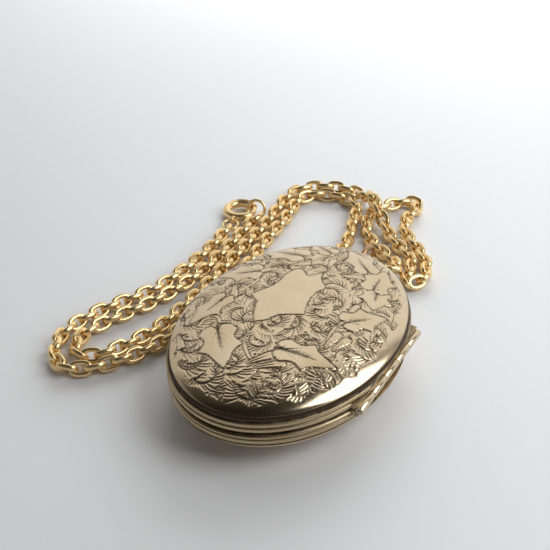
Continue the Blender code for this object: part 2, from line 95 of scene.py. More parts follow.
# --- photo frames, panes and cards: outer and inner inset, then foot and face ---
BACK_FRAME = (1.80, 3.1, -1.17, -0.12)
FRONT_FRAME = (2.05, 3.2, 0.97, 0.18)
BACK_PANE_INSET = 2.43
BACK_PANE = (-0.72, -0.38)
BACK_CARD = (-1.10, -0.78)
FRONT_PANE_INSET = 2.68
FRONT_PANE = (0.44, 0.68)
FRONT_CARD = (0.72, 0.95)

# --- chain ---
CHAIN_Z = 1.02
THREADED_Y = 24.15
THREADED_Z = 2.55
LINK_PITCH = 1.92
LINK_WIDTH = 2.35
LINK_WIRE = 0.68
LINK_BAND = 0.80            # the wire is a strip, this wide across the link's own plane
LINK_FIRST = 0.80           # from the start of each run to the middle of its first link
LINK_LAST = 0.40
LINK_LIFT = 0.05            # the links lie this much higher than the middle of the plain tube
LINK_STEPS = (24, 12)       # round the link and round its wire
LINK_OVAL = 0.80            # below 1 a circle becomes a rounded square
WIRE_OVAL = 0.55

# --- bolt ring ---
CLASP = (-26.75, 30.3, 0.95)
CLASP_RADIUS = 2.3
CLASP_TUBE = 0.72
CLASP_BORE = 0.50
BOLT_RADIUS = 0.42
MOUTH_TURN = math.radians(15.0)
MOUTH_HALF = math.radians(35.0)
EYE_TURN = math.radians(-80.0)
EYE_REACH = 0.42            # from the tube's outside to the eye's centre
EYE_RADIUS = 0.58
EYE_WIRE = 0.22
RING_RADIUS = 1.25
RING_WIRE = 0.24
SLOT_RANGE = (math.radians(38), math.radians(118))
SLOT_HALF_WIDTH = 0.22
BOLT_RANGE = (math.radians(-37), math.radians(92))
KNOB_TURN = math.radians(46)
KNOB_TOP = 1.15
SPRING_RANGE = (math.radians(158), math.radians(214))
SPRING_TURNS = 9
SPRING_RADIUS = 0.33
SPRING_WIRE = 0.08
END_RING_RADIUS = 1.5
END_RING_WIRE = 0.25
END_RING_LEAN = math.radians(-24)

# The routes of the two runs of chain, as in the model: x, y and, off the table, z
CHAIN_LEFT_ROUTE = [
    (-2.98, 24.15, 2.55), (-4.0, 24.3, 2.35), (-5.3, 25.3, 1.8), (-6.1, 27.2, 1.25),
    (-6.5, 29.4), (-7.0, 31.8), (-7.9, 34.4), (-8.7, 36.9), (-9.4, 39.3), (-10.9, 41.3),
    (-13.0, 42.2), (-15.3, 41.9), (-17.4, 41.0), (-19.1, 39.3), (-19.6, 37.0),
    (-19.2, 34.3), (-18.8, 31.4), (-18.5, 28.2), (-18.2, 24.4), (-17.7, 20.4),
    (-17.1, 16.0), (-16.8, 11.5), (-16.8, 7.5), (-16.9, 3.5), (-17.1, -0.6),
    (-17.6, -4.3), (-18.5, -7.5), (-19.7, -10.2), (-21.2, -12.5), (-22.8, -14.5),
    (-24.6, -15.9), (-26.8, -16.4), (-29.0, -15.2), (-30.6, -12.9), (-31.2, -10.2),
    (-31.0, -7.4), (-30.2, -4.6), (-28.9, -1.6), (-27.3, 1.7), (-25.9, 5.2),
    (-25.2, 10.0), (-24.9, 15.0), (-25.0, 19.5), (-25.6, 23.9),
]
CHAIN_RIGHT_ROUTE = [
    (3.1, 24.15, 2.55), (3.7, 24.15, 2.52), (4.2, 24.8, 2.35), (3.8, 26.1, 1.95), (3.0, 27.3, 1.5),
    (1.7, 28.5, 1.1), (0.1, 29.7), (-1.7, 30.9), (-3.5, 32.4), (-5.1, 34.4),
    (-6.3, 37.0), (-6.8, 39.6), (-6.2, 42.1), (-4.9, 44.2), (-3.2, 45.9), (-1.8, 46.3),
    (-0.9, 45.1), (-0.9, 42.8), (-0.8, 40.3), (0.1, 37.9), (1.7, 35.8), (3.6, 34.0),
    (5.5, 32.1), (7.1, 29.9), (8.0, 27.6), (8.0, 25.7), (7.2, 24.4), (6.2, 24.5),
    (5.8, 25.8), (5.5, 27.6), (4.7, 29.6), (3.0, 31.5), (1.0, 33.0), (-1.0, 34.8),
    (-2.8, 36.7, 1.3), (-4.2, 38.0, 2.0), (-5.4, 39.1, 2.75), (-6.8, 40.5, 3.2),
    (-8.0, 41.8, 2.85), (-9.2, 43.0, 2.0), (-10.7, 44.1, 1.3), (-13.0, 44.9),
    (-15.7, 44.7), (-18.6, 43.5), (-21.0, 41.2), (-21.8, 37.8), (-21.4, 33.4),
    (-20.8, 28.8), (-20.5, 24.0), (-20.2, 19.0), (-20.0, 14.0), (-19.8, 9.4),
    (-19.7, 5.0), (-19.8, 1.2), (-20.1, -2.4), (-20.9, -5.8), (-22.0, -8.6),
    (-23.1, -11.0), (-24.5, -12.7), (-26.2, -13.2), (-27.7, -12.3), (-28.4, -10.4),
    (-28.3, -8.0), (-27.5, -5.4), (-26.3, -2.6), (-24.9, 0.6), (-23.6, 4.7),
    (-22.75, 9.2), (-22.4, 14.0), (-22.5, 18.8), (-22.7, 23.4), (-23.0, 27.0),
    (-23.0, 29.6),
]

# --- the engraved cover ---
DOME_CELLS = (264, 352)     # quads across and along the cover
INSIDE_STRIDE = 8           # the sheet's inside is this much coarser
FIELD_CELL = 0.04           # grid of the engraving's depth
GROUND_DEPTH = 0.02
EDGE_SOFTNESS = 0.12
OUTLINE_HALF = 0.16         # half width of the cut round a leaf
OUTLINE_DEPTH = 0.11
COMB_PITCH = 0.38           # between the fine cuts of a curl
COMB_WIDTH = 0.165
COMB_DEPTH = 0.095
CURL_SPACING = 1.3
CURL_LENGTH = (3.4, 5.0)
CURL_TURN = (2.0, 3.8)
CURL_BARB = (1.3, 1.9)
CURLS_TO = 0.98             # share of the dome's half axes that the ground fills
HATCHES = 4200              # fine strokes under the curls
HATCH_LENGTH = (0.7, 1.3)
ENGRAVED_TO = 0.93          # the engraving ends at this share of the half axes,
ENGRAVED_SWING = 0.04       # more by this much towards this direction
ENGRAVED_WIDEST = math.radians(160)
ENGRAVED_FADE = 0.02
STEM_HALF = 0.17
SEED = 11

# The plain shield: corners are given twice
SHIELD = [
    (-2.75, -5.0), (-2.75, -5.0), (-1.6, -4.1), (-0.9, -2.8), (0.2, -1.9), (2.15, -0.85),
    (2.15, -0.85), (1.55, 0.8), (1.2, 2.6), (1.25, 4.4), (1.75, 5.9), (0.8, 6.9),
    (0.1, 7.9), (-0.3, 9.1), (-0.3, 9.1), (-0.9, 7.9), (-1.6, 7.3), (-2.4, 7.9),
    (-3.3, 8.5), (-4.1, 7.7), (-4.4, 6.2), (-4.35, 4.4), (-4.8, 2.6), (-5.6, 1.2),
    (-6.1, 0.0), (-6.1, 0.0), (-5.2, -0.7), (-4.6, -0.95), (-4.6, -0.95), (-4.2, -2.3),
    (-3.5, -3.9),
]
# One side of an ivy leaf, from its stem to its tip, for a length and half width of 1
LEAF_SIDE = [(0.03, 0.0), (-0.10, 0.28), (-0.06, 0.62), (0.06, 0.88), (0.06, 0.88), (0.22, 0.68),
             (0.32, 0.70), (0.50, 1.0), (0.50, 1.0), (0.58, 0.66), (0.70, 0.44), (0.86, 0.24),
             (1.0, 0.0), (1.0, 0.0)]
# Stem x and y, direction in degrees, length, width
LEAVES = [
    (-5.2, 12.4, 178, 7.2, 5.3), (-8.6, 5.8, 205, 5.6, 5.1), (-9.4, -1.8, 258, 6.7, 4.0),
    (-6.4, -8.3, -52, 7.4, 5.6), (3.0, -8.1, 6, 7.2, 4.6), (7.6, 0.8, 48, 5.6, 4.4),
    (7.9, 9.5, -72, 4.3, 4.6), (7.3, 9.7, 97, 5.8, 4.6), (4.7, 13.5, 138, 6.7, 4.4),
    (-2.2, 15.4, 150, 5.0, 3.7), (-10.3, 9.2, 190, 3.2, 2.6),
]
# One side of a slim petal, and the petals: base x and y, direction, length, width
PETAL_SIDE = [(0, 0), (0.15, 0.35), (0.45, 0.62), (0.8, 1.0), (0.97, 0.7), (1.0, 0.0)]
PETALS = [
    (7.5, -5.2, 84, 3.6, 1.0), (8.5, -4.9, 74, 3.2, 0.9), (0.4, -12.2, 52, 3.6, 1.1),
    (1.6, -12.4, 38, 3.8, 1.0), (7.1, -0.6, 88, 5.6, 0.7), (5.9, 17.4, -75, 2.6, 0.9),
    (-5.4, 9.0, 35, 3.0, 0.8), (-9.8, 1.6, -62, 3.4, 0.9), (12.6, 4.4, 95, 3.2, 0.9),
    (-0.2, 10.9, 100, 2.8, 0.8), (-11.2, -10.4, -48, 3.2, 0.9), (3.8, -16.6, 12, 3.0, 0.9),
]
# Stems, each a line of points
STEMS = [
    [(7.2, 0.6), (6.9, -2.0), (7.6, -5.0)],
    [(-1.9, -9.2), (-0.8, -10.4), (0.6, -11.6)],
    [(-9.3, -8.4), (-9.3, -6.9), (-8.6, -6.0), (-7.6, -6.2), (-6.9, -6.9), (-5.9, -6.5)],
    [(-8.6, 5.8), (-7.4, 3.6), (-8.0, 1.0), (-9.4, -1.8)],
]
# The fine cuts of a leaf: where they leave its middle line and how far they go, and how they cut
VEINS = [(0.10, 0.17), (0.17, 0.19), (0.24, 0.18), (0.31, 0.16), (0.38, 0.13), (0.45, 0.10)]
VEIN_WIDTH = 0.13
VEIN_DEPTH = 0.11
# Large curls: start x and y, direction in degrees, length, turn in degrees, barbs
CURLS = [
    (2.2, 1.6, 20, 6.4, 230, 1.5), (2.0, 6.0, 40, 6.0, -250, 1.4), (1.6, -1.6, -20, 6.2, -220, 1.5),
    (-5.2, 3.0, 150, 5.0, -200, 1.3), (-4.8, 8.0, 120, 5.0, 210, 1.2), (-0.8, -5.0, 10, 5.2, 220, 1.4),
    (-5.6, -3.2, 200, 5.0, 210, 1.3), (-2.4, 10.4, 60, 5.0, -220, 1.3), (2.4, 10.6, 20, 5.4, 210, 1.3),
    (5.6, 3.0, 80, 4.8, 200, 1.2), (-7.4, -0.4, 250, 5.2, -200, 1.3), (4.2, -2.4, -60, 4.8, 220, 1.3),
    (-7.6, 5.6, 60, 4.8, -210, 1.2), (1.0, -7.4, -70, 5.0, -210, 1.3), (10.2, -1.0, -80, 5.0, 200, 1.3),
]

# --- looks ---
CASE_GOLD = (0.70, 0.575, 0.405)
# A darker copy of the case gold for the rims: painted shade, standing in for the dark reflections on the
# beads.
SHADED_RIM_GOLD = (0.52, 0.42, 0.27)
CHAIN_GOLD = (1.0, 0.76, 0.40)
# A darker, browner copy of the gold for the bail ring and lug: painted shade.
SHADED_BAIL_GOLD = (0.50, 0.31, 0.18)
# The dark colour of the engraving's patina, and of the painted shade at the dome's edge and in the rims'
# grooves and seam.
PATINA_AND_SHADE = (0.070, 0.047, 0.030)
STEEL = (0.50, 0.50, 0.51)
STEEL_DARK = (0.38, 0.37, 0.36)
PANE = (0.97, 0.98, 0.98)
CARD = (0.80, 0.76, 0.67)
FLOOR = (0.83, 0.83, 0.84)
FLOOR_HALF = 900.0
WALL = (1.00, 1.00, 0.98)
WALL_LEFT = (0.60, 0.59, 0.57)
CEILING = (0.08, 0.07, 0.06)
DARK_FRONT = (0.02, 0.017, 0.014)
LOW_WALLS = (0.34, 0.33, 0.32)

# --- camera ---
CAMERA_AT = (51.40, -92.26, 88.89)
CAMERA_TO = (-9.203, 11.449, 5.0)
CAMERA_ROLL = math.radians(-0.87)
CAMERA_LENS = 65.4545
TO_CAMERA = (0.5, -0.866)   # seen from above


def aim(thing, at, to, roll=0.0):
    """Put a camera or light at one place, looking at another."""
    bpy.context.scene.collection.objects.link(thing)
    thing.location = Vector(at) * MM
    look = (Vector(to) - Vector(at)).to_track_quat("-Z", "Y")
    thing.rotation_mode = "QUATERNION"
    thing.rotation_quaternion = look @ Matrix.Rotation(roll, 3, "Z").to_quaternion()


def make_camera():
    data = bpy.data.cameras.new("camera")
    data.lens = CAMERA_LENS
    data.sensor_width = 36.0
    data.clip_start = 0.001
    data.clip_end = 50.0
    camera = bpy.data.objects.new("camera", data)
    aim(camera, CAMERA_AT, CAMERA_TO, CAMERA_ROLL)
    bpy.context.scene.camera = camera


# --- meshes ---
def quads(rows, columns, wrap_rows, wrap_columns):
    """The faces of a grid of points, given by their numbers."""
    last_row = rows if wrap_rows else rows - 1
    last_column = columns if wrap_columns else columns - 1
    i, j = np.meshgrid(np.arange(last_row), np.arange(last_column), indexing="ij")
    next_i, next_j = (i + 1) % rows, (j + 1) % columns
    corners = [i * columns + j, i * columns + next_j, next_i * columns + next_j, next_i * columns + j]
    return np.stack(corners, axis=-1).reshape(-1, 4)


def mesh_from(name, points, faces, smooth_angle=35):
    """A mesh whose faces all look outwards."""
    mesh = bpy.data.meshes.new(name)
    mesh.from_pydata([tuple(p) for p in np.asarray(points) * MM], [], [list(map(int, f)) for f in faces])
    shape = bmesh.new()
    shape.from_mesh(mesh)
    bmesh.ops.recalc_face_normals(shape, faces=shape.faces)
    shape.to_mesh(mesh)
    shape.free()
    mesh.shade_smooth()
    mesh.set_sharp_from_angle(angle=math.radians(smooth_angle))
    return mesh


def mesh_from_loops(name, loops, closed):
    """Bridge equal loops of points; the ends are capped, or joined when closed."""
    loops = np.asarray(loops, dtype=float)
    rows, columns = loops.shape[:2]
    faces = quads(rows, columns, closed, True).tolist()
    if not closed:
        faces += [list(range(columns)), list(range((rows - 1) * columns, rows * columns))]
    return mesh_from(name, loops.reshape(-1, 3), faces)


def add_piece(name, mesh, material, body, node):
    """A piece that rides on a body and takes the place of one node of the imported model."""
    mesh.materials.clear()
    mesh.materials.append(material)
    piece = bpy.data.objects.new(name, mesh)
    bpy.context.scene.collection.objects.link(piece)
    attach(piece, body)
    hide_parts(node)
    return piece


def carve(mesh, steps):
    """Apply booleans, each a (tool mesh, operation), and give back the new mesh."""
    target = bpy.data.objects.new("target", mesh)
    things = [target]
    for tool_mesh, operation in steps:
        tool = bpy.data.objects.new("tool", tool_mesh)
        modifier = target.modifiers.new("Cut", "BOOLEAN")
        modifier.operation = operation
        modifier.object = tool
        modifier.solver = "EXACT"
        things.append(tool)
    for thing in things:
        bpy.context.scene.collection.objects.link(thing)
    graph = bpy.context.evaluated_depsgraph_get()
    graph.update()
    result = bpy.data.meshes.new_from_object(target.evaluated_get(graph))
    for thing in things:
        bpy.data.objects.remove(thing, do_unlink=True)
    result.shade_smooth()
    result.set_sharp_from_angle(angle=math.radians(30))
    return result


def soften(points, steps, closed=False):
    """Even Catmull-Rom steps through points in a plane; a doubled point stays a corner."""
    points = np.asarray(points, dtype=float)
    if closed:
        padded = np.vstack([points[-1:], points, points[:2]])
        spans = len(points)
    else:
        padded = np.vstack([2 * points[0] - points[1], points, 2 * points[-1] - points[-2]])
        spans = len(points) - 1
    out = []
    for i in range(spans):
        a, b, c, d = padded[i:i + 4]
        if np.allclose(b, c):
            continue
        t = (np.arange(steps) / steps)[:, None]
        out.append(0.5 * (2 * b + (c - a) * t + (2 * a - 5 * b + 4 * c - d) * t ** 2
                          + (3 * b - a - 3 * c + d) * t ** 3))
    if not closed:
        out.append(points[-1:])
    return np.vstack(out)


def turns(count):
    """Even angles round a circle."""
    return [2 * math.pi * i / count for i in range(count)]


def oval_loop(half_width, half_length, z):
    t = 2 * np.pi * np.arange(AROUND) / AROUND
    return np.stack([half_width * np.cos(t), half_length * np.sin(t), np.full(AROUND, z)], axis=-1)


def inset_loop(inset, height):
    return oval_loop(HALF_WIDTH - inset, HALF_LENGTH - inset, SEAM_Z + height)


def oval_ring(name, profile):
    return mesh_from_loops(name, [inset_loop(*point) for point in profile], closed=True)


def oval_plate(name, inset, low, high):
    bevel = 0.04
    profile = [(inset + bevel, low), (inset, low + bevel), (inset, high - bevel), (inset + bevel, high)]
    return mesh_from_loops(name, [inset_loop(*point) for point in profile], closed=False)


def box(name, low, high):
    corners = [(low[0], low[1]), (high[0], low[1]), (high[0], high[1]), (low[0], high[1])]
    return mesh_from_loops(name, [[(x, y, z) for x, y in corners] for z in (low[2], high[2])], False)


def turned_bar(name, start, end, profile, sides, closed=False):
    """A round bar: profile is a list of (share of the way, millimetres added, radius)."""
    start, end = Vector(start), Vector(end)
    turn = (end - start).to_track_quat("Z", "Y").to_matrix()
    length = (end - start).length
    loops = []
    for share, extra, radius in profile:
        centre = start + turn @ Vector((0, 0, share * length + extra))
        loops.append([centre + turn @ Vector((radius * math.cos(a), radius * math.sin(a), 0))
                      for a in turns(sides)])
    return mesh_from_loops(name, loops, closed)


def wire_section(centre, radius, wire, turn, a, sides):
    """The round section, at an angle a, of a wire that is bent to a circle."""
    return [centre + turn @ Vector(((radius + wire * math.cos(b)) * math.cos(a),
                                    (radius + wire * math.cos(b)) * math.sin(a), wire * math.sin(b)))
            for b in turns(sides)]


def torus(name, centre, radius, wire, turn, around, sides):
    loops = [wire_section(Vector(centre), radius, wire, turn, a, sides) for a in turns(around)]
    return mesh_from_loops(name, loops, closed=True)


# --- the engraving ---
class Engraving:
    """The depth of the cut, in millimetres below the dome, over a plan of the cover."""

    def __init__(self):
        self.half_x = HALF_WIDTH - DOME_EDGE
        self.half_y = HALF_LENGTH - DOME_EDGE
        self.x = np.arange(-self.half_x, self.half_x + FIELD_CELL, FIELD_CELL)
        self.y = np.arange(-self.half_y, self.half_y + FIELD_CELL, FIELD_CELL)
        self.cut = np.zeros((len(self.x), len(self.y)))

    def window(self, line, margin):
        """The part of the grid that lies round a line, and the x and y of its places."""
        low = (line.min(axis=0) - margin + (self.half_x, self.half_y)) / FIELD_CELL
        high = (line.max(axis=0) + margin + (self.half_x, self.half_y)) / FIELD_CELL
        part = tuple(slice(max(int(start), 0), min(int(end) + 2, size))
                     for start, end, size in zip(low, high, self.cut.shape))
        gx, gy = np.meshgrid(self.x[part[0]], self.y[part[1]], indexing="ij")
        return part, gx, gy

    def groove(self, line, width, depth, taper=0.8):
        """Cut a V along a line, deepest near its start."""
        line = np.asarray(line, dtype=float)
        part, gx, gy = self.window(line, width)
        if gx.size == 0:
            return
        distance, along = line_distance(gx, gy, line)
        half = width * (1 - taper * along ** 1.5)
        shape = np.clip(1 - distance / np.maximum(half, 1e-6), 0, 1) * (1 - 0.6 * taper * along)
        self.cut[part] = np.maximum(self.cut[part], depth * shape)

    def raise_shape(self, outline):
        """Leave a closed outline plain, with a cut round it."""
        outline = np.asarray(outline, dtype=float)
        part, gx, gy = self.window(outline, 0.5)
        ring = np.vstack([outline, outline[:1]])
        distance, _ = line_distance(gx, gy, ring)
        signed = np.where(inside_of(gx, gy, outline), distance, -distance)
        self.cut[part] *= 1 - smooth_step(signed / EDGE_SOFTNESS + 0.5)
        trench = OUTLINE_DEPTH * np.clip(1 - np.abs(signed + OUTLINE_HALF) / OUTLINE_HALF, 0, 1)
        self.cut[part] = np.maximum(self.cut[part], trench)

    def sample(self, x, y):
        """The depth at given places, from the four nearest cells."""
        u = np.clip((x + self.half_x) / FIELD_CELL, 0, len(self.x) - 1.001)
        v = np.clip((y + self.half_y) / FIELD_CELL, 0, len(self.y) - 1.001)
        i, j = u.astype(int), v.astype(int)
        a, b = u - i, v - j
        c = self.cut
        return ((c[i, j] * (1 - a) + c[i + 1, j] * a) * (1 - b)
                + (c[i, j + 1] * (1 - a) + c[i + 1, j + 1] * a) * b)


def smooth_step(t):
    t = np.clip(t, 0, 1)
    return t * t * (3 - 2 * t)


def line_distance(gx, gy, line):
    """The distance to a line of points and the share of its length at the nearest place."""
    steps = np.linalg.norm(np.diff(line, axis=0), axis=1)
    reached = np.concatenate([[0], np.cumsum(steps)])
    nearest = np.full(gx.shape, np.inf)
    along = np.zeros(gx.shape)
    for k in range(len(line) - 1):
        ax, ay = line[k]
        dx, dy = line[k + 1] - line[k]
        if steps[k] < 1e-9:
            continue
        t = np.clip(((gx - ax) * dx + (gy - ay) * dy) / steps[k] ** 2, 0, 1)
        d = np.hypot(gx - ax - t * dx, gy - ay - t * dy)
        closer = d < nearest
        nearest = np.where(closer, d, nearest)
        along = np.where(closer, (reached[k] + t * steps[k]) / reached[-1], along)
    return nearest, along


def inside_of(gx, gy, outline):
    inside = np.zeros(gx.shape, dtype=bool)
    for (ax, ay), (bx, by) in zip(outline, np.roll(outline, -1, axis=0)):
        if ay == by:
            continue
        crosses = (ay > gy) != (by > gy)
        inside ^= crosses & (gx < (bx - ax) * (gy - ay) / (by - ay) + ax)
    return inside


def bend(start, angle, length, turn, steps):
    """A short curved stroke that turns by so many radians on its way."""
    points = [np.asarray(start, dtype=float)]
    for i in range(steps):
        a = angle + turn * (i + 0.5) / steps
        points.append(points[-1] + length / steps * np.array([math.cos(a), math.sin(a)]))
    return np.array(points)


def curl(work, rng, start, heading, length, turn, barb):
    """A curled lobe: comb cuts off the outer side of a deep line, over what lies under it."""
    spine = bend(start, heading, length, turn, 12)
    side = -1 if turn > 0 else 1
    steps = np.diff(spine, axis=0)
    headings = np.arctan2(steps[:, 1], steps[:, 0])
    share = (np.arange(len(steps)) + 0.5) / len(steps)
    swell = barb * np.sin(np.pi * share ** 0.8) ** 0.6
    outer = spine[:-1] + side * np.stack([-np.sin(headings), np.cos(headings)], axis=-1) * swell[:, None]
    outline = np.vstack([spine, outer[::-1]])
    part, gx, gy = work.window(outline, 0.1)
    work.cut[part] *= ~inside_of(gx, gy, outline)
    for s in np.arange(0.15, length - 0.05, COMB_PITCH):
        k = min(int(s / length * len(steps)), len(steps) - 1)
        base = spine[k] + steps[k] * (s / length * len(steps) - k)
        stroke = bend(base, headings[k] + side * (1.10 + 0.06 * rng.standard_normal()),
                      1.1 * swell[k] * rng.uniform(0.85, 1.1), -side * rng.uniform(0.5, 0.9), 3)
        work.groove(stroke, COMB_WIDTH, COMB_DEPTH, 0.45)
    work.groove(spine, 0.18, 0.12, 0.3)


def ground(work, rng):
    """Fine hatching all over, then small curls flowing round the oval, then the larger ones."""
    for _ in range(HATCHES):
        a, r = rng.uniform(0, 2 * math.pi), CURLS_TO * math.sqrt(rng.uniform(0, 1))
        px, py = work.half_x * r * math.cos(a), work.half_y * r * math.sin(a)
        lie = 1.3 * math.sin(0.55 * px + 1.1) + 1.2 * math.cos(0.5 * py - 0.3 * px)
        work.groove(bend((px, py), lie, rng.uniform(*HATCH_LENGTH), rng.uniform(-0.9, 0.9), 3),
                    COMB_WIDTH, COMB_DEPTH, 0.5)
    places = []
    for x in np.arange(-14.2, 14.3, CURL_SPACING):
        for y in np.arange(-19.2, 19.3, CURL_SPACING):
            px, py = np.array([x, y]) + rng.uniform(-0.5, 0.5, 2)
            if math.hypot(px / work.half_x, py / work.half_y) < CURLS_TO:
                places.append((px, py))
    for k in rng.permutation(len(places)):
        px, py = places[k]
        flow = math.atan2(py / 1.6, px) + math.pi / 2
        way = 1 if math.sin(0.9 * px + 0.7 * py) > 0 else -1
        heading = flow + rng.uniform(-0.8, 0.8) + (0 if way > 0 else math.pi)
        curl(work, rng, (px, py), heading, rng.uniform(*CURL_LENGTH), way * rng.uniform(*CURL_TURN),
             rng.uniform(*CURL_BARB))
    for x, y, heading, length, turn, barb in CURLS:
        curl(work, rng, (x, y), math.radians(heading), length, math.radians(turn), barb)


def place_leaf(outline, leaf):
    """Turn points given for a length and half width of 1 to where the leaf lies."""
    x, y, turn, length, width = leaf
    a = math.radians(turn)
    along = np.array([math.cos(a), math.sin(a)]) * length
    across = np.array([-math.sin(a), math.cos(a)]) * width / 2
    points = np.asarray(outline, dtype=float)
    return np.array([x, y]) + points[:, :1] * along + points[:, 1:] * across


def both_sides(side, steps):
    """A smooth closed outline from one side of a leaf and its mirror image."""
    return soften(side + [(u, -v) for u, v in reversed(side[1:-1])], steps, True)


def engrave():
    """The ground first, then stems, petals, leaves and the shield left plain in it."""
    rng = np.random.default_rng(SEED)
    work = Engraving()
    gx, gy = np.meshgrid(work.x, work.y, indexing="ij")
    ground(work, rng)
    work.cut += GROUND_DEPTH
    for stem in STEMS:
        raise_line(work, soften(stem, 8), STEM_HALF, 0.10)
    for petal in PETALS:
        work.raise_shape(place_leaf(both_sides(PETAL_SIDE, 5), petal))
        work.groove(place_leaf([(0.0, 0.0), (0.5, 0.03), (0.9, 0.0)], petal), VEIN_WIDTH, VEIN_DEPTH)
    for leaf in LEAVES:
        work.raise_shape(place_leaf(both_sides(LEAF_SIDE, 6), leaf))
        cut_veins(work, leaf)
    work.raise_shape(soften(SHIELD, 8, True))
    radius = np.hypot(gx / work.half_x, gy / work.half_y)
    turn = np.arctan2(gy, gx)
    ragged = ENGRAVED_TO + ENGRAVED_SWING * np.cos(turn - ENGRAVED_WIDEST)
    ragged += 0.012 * np.sin(23 * turn) + 0.010 * np.sin(37 * turn + 1.0)
    work.cut *= 1 - smooth_step((radius - ragged) / ENGRAVED_FADE)
    return work


def raise_line(work, line, half, softness):
    part, gx, gy = work.window(line, half + 0.4)
    distance, _ = line_distance(gx, gy, line)
    mask = smooth_step((half - distance) / softness + 0.4)
    crown = 0.05 * np.clip(distance / half, 0, 1) ** 2
    work.cut[part] = work.cut[part] * (1 - mask) + crown * mask
    trench = 0.12 * np.clip(1 - np.abs(distance - half - 0.10) / 0.12, 0, 1)
    work.cut[part] = np.maximum(work.cut[part], trench)


def cut_veins(work, leaf):
    """A dark wedge along the leaf, with fine cuts that fan out of it and fade before its edge."""
    def cut(line, width=VEIN_WIDTH, depth=VEIN_DEPTH, taper=0.8):
        work.groove(place_leaf(line, leaf), width, depth, taper)

    for side in (1, -1):
        cut([(0.02, 0.0), (0.16, 0.20 * side), (0.34, 0.52 * side)])
        cut([(0.0, 0.0), (0.03, 0.20 * side), (0.04, 0.48 * side)], 0.12, 0.10)
    for along, reach in VEINS:
        for side in (1, -1):
            long = reach * (1.0 if side > 0 else 0.7)
            cut([(along, 0.02 * side), (along + long, long * 1.5 * side)])
    cut([(-0.03, 0.0), (0.3, 0.03), (0.66, 0.0)], 0.26, 0.16, 0.9)


# --- the domed sheets ---
def disc_grid(cells_x, cells_y):
    """Even points over the unit disc, from a square grid: radius and angle of each."""
    s, t = np.meshgrid(np.linspace(-1, 1, cells_x + 1), np.linspace(-1, 1, cells_y + 1), indexing="ij")
    wide = np.abs(s) >= np.abs(t)
    safe_s = np.where(np.abs(s) < 1e-12, 1e-12, s)
    safe_t = np.where(np.abs(t) < 1e-12, 1e-12, t)
    radius = np.where(wide, s, t)
    angle = np.where(wide, np.pi / 4 * t / safe_s, np.pi / 2 - np.pi / 4 * s / safe_t)
    return radius, angle


def dome_turn(radius, rise):
    """The turn up the dome whose arc length is that share of the whole, from its top."""
    turns = np.linspace(np.pi / 2, 0, 400)
    across = (HALF_WIDTH + HALF_LENGTH) / 2 - DOME_EDGE
    steps = np.hypot(across * np.diff(np.cos(turns)), rise * np.diff(np.sin(turns)))
    reached = np.concatenate([[0], np.cumsum(steps)])
    return np.interp(np.abs(radius), reached / reached[-1], turns)


def dome_points(radius, angle, inset, rise, side):
    turn = dome_turn(radius, rise)
    out = np.cos(turn) * np.sign(radius)
    x = (HALF_WIDTH - inset) * out * np.cos(angle)
    y = (HALF_LENGTH - inset) * out * np.sin(angle)
    z = RIM_HEIGHT + SOLDER_GAP + rise * np.sin(turn)
    return x, y, SEAM_Z + side * z


def ring_faces(first, second):
    """Quads between two equal rings of point numbers."""
    return np.stack([first, np.roll(first, -1), np.roll(second, -1), second], axis=-1).tolist()


def inside_faces(rows, columns, first, border):
    """A coarse sheet whose outer faces take in every point of the fine ring round it."""
    border_place = {int(c): k * INSIDE_STRIDE for k, c in enumerate(border_numbers(rows - 1, columns - 1))}
    faces = []
    for face in quads(rows, columns, False, False).tolist():
        ring = []
        for corner, after in zip(face, face[1:] + face[:1]):
            a, b = border_place.get(corner), border_place.get(after)
            ring.append(first + corner if a is None else border[a])
            if a is not None and b is not None and on_one_side(corner, after, rows, columns):
                way = 1 if (b - a) % len(border) == INSIDE_STRIDE else -1
                ring += [border[(a + way * step) % len(border)] for step in range(1, INSIDE_STRIDE)]
        faces.append(ring)
    return faces


def front_cover_mesh(work):
    """The domed sheet with its engraving, one closed body; the patina in the cuts and the painted shade at
    its edge are kept as an attribute.
    """
    rows, columns = DOME_CELLS[0] + 1, DOME_CELLS[1] + 1
    rise = FRONT_DOME_TOP - RIM_HEIGHT - SOLDER_GAP
    x, y, z = dome_points(*disc_grid(*DOME_CELLS), DOME_EDGE, rise, 1)
    local = z - SEAM_Z - RIM_HEIGHT - SOLDER_GAP
    normal = np.stack([x / work.half_x ** 2, y / work.half_y ** 2, local / rise ** 2], axis=-1)
    normal /= np.linalg.norm(normal, axis=-1, keepdims=True)
    outer = (np.stack([x, y, z], axis=-1) - normal * work.sample(x, y)[..., None]).reshape(-1, 3)
    edge = border_numbers(*DOME_CELLS)
    skirt = outer[edge] - (0, 0, SOLDER_GAP - SKIRT)
    lip = skirt * (1 - SHEET / work.half_x, 1 - SHEET / work.half_y, 1)
    coarse = [cells // INSIDE_STRIDE for cells in DOME_CELLS]
    inner = np.stack(dome_points(*disc_grid(*coarse), DOME_EDGE + SHEET, rise - SHEET, 1), axis=-1)
    points = np.vstack([outer, skirt, lip, inner.reshape(-1, 3)])
    skirt_ring = len(outer) + np.arange(len(edge))
    lip_ring = skirt_ring + len(edge)
    faces = quads(rows, columns, False, False).tolist()
    faces += ring_faces(edge, skirt_ring) + ring_faces(skirt_ring, lip_ring)
    faces += inside_faces(*inner.shape[:2], lip_ring[-1] + 1, lip_ring)
    used = np.unique(np.concatenate(faces))
    renumber = np.zeros(len(points), dtype=int)
    renumber[used] = np.arange(len(used))
    mesh = mesh_from("engraved_cover", points[used], [renumber[face] for face in faces], 60)
    patina_and_shade = np.zeros(len(points))
    patina_and_shade[:len(outer)] = patina_and_edge_shade_of(work, x, y).reshape(-1)
    keep_patina_and_shade(mesh, patina_and_shade[used])
    return mesh


def keep_patina_and_shade(mesh, values):
    layer = mesh.attributes.new("patina_and_shade", "FLOAT", "POINT")
    layer.data.foreach_set("value", values.astype(np.float32))


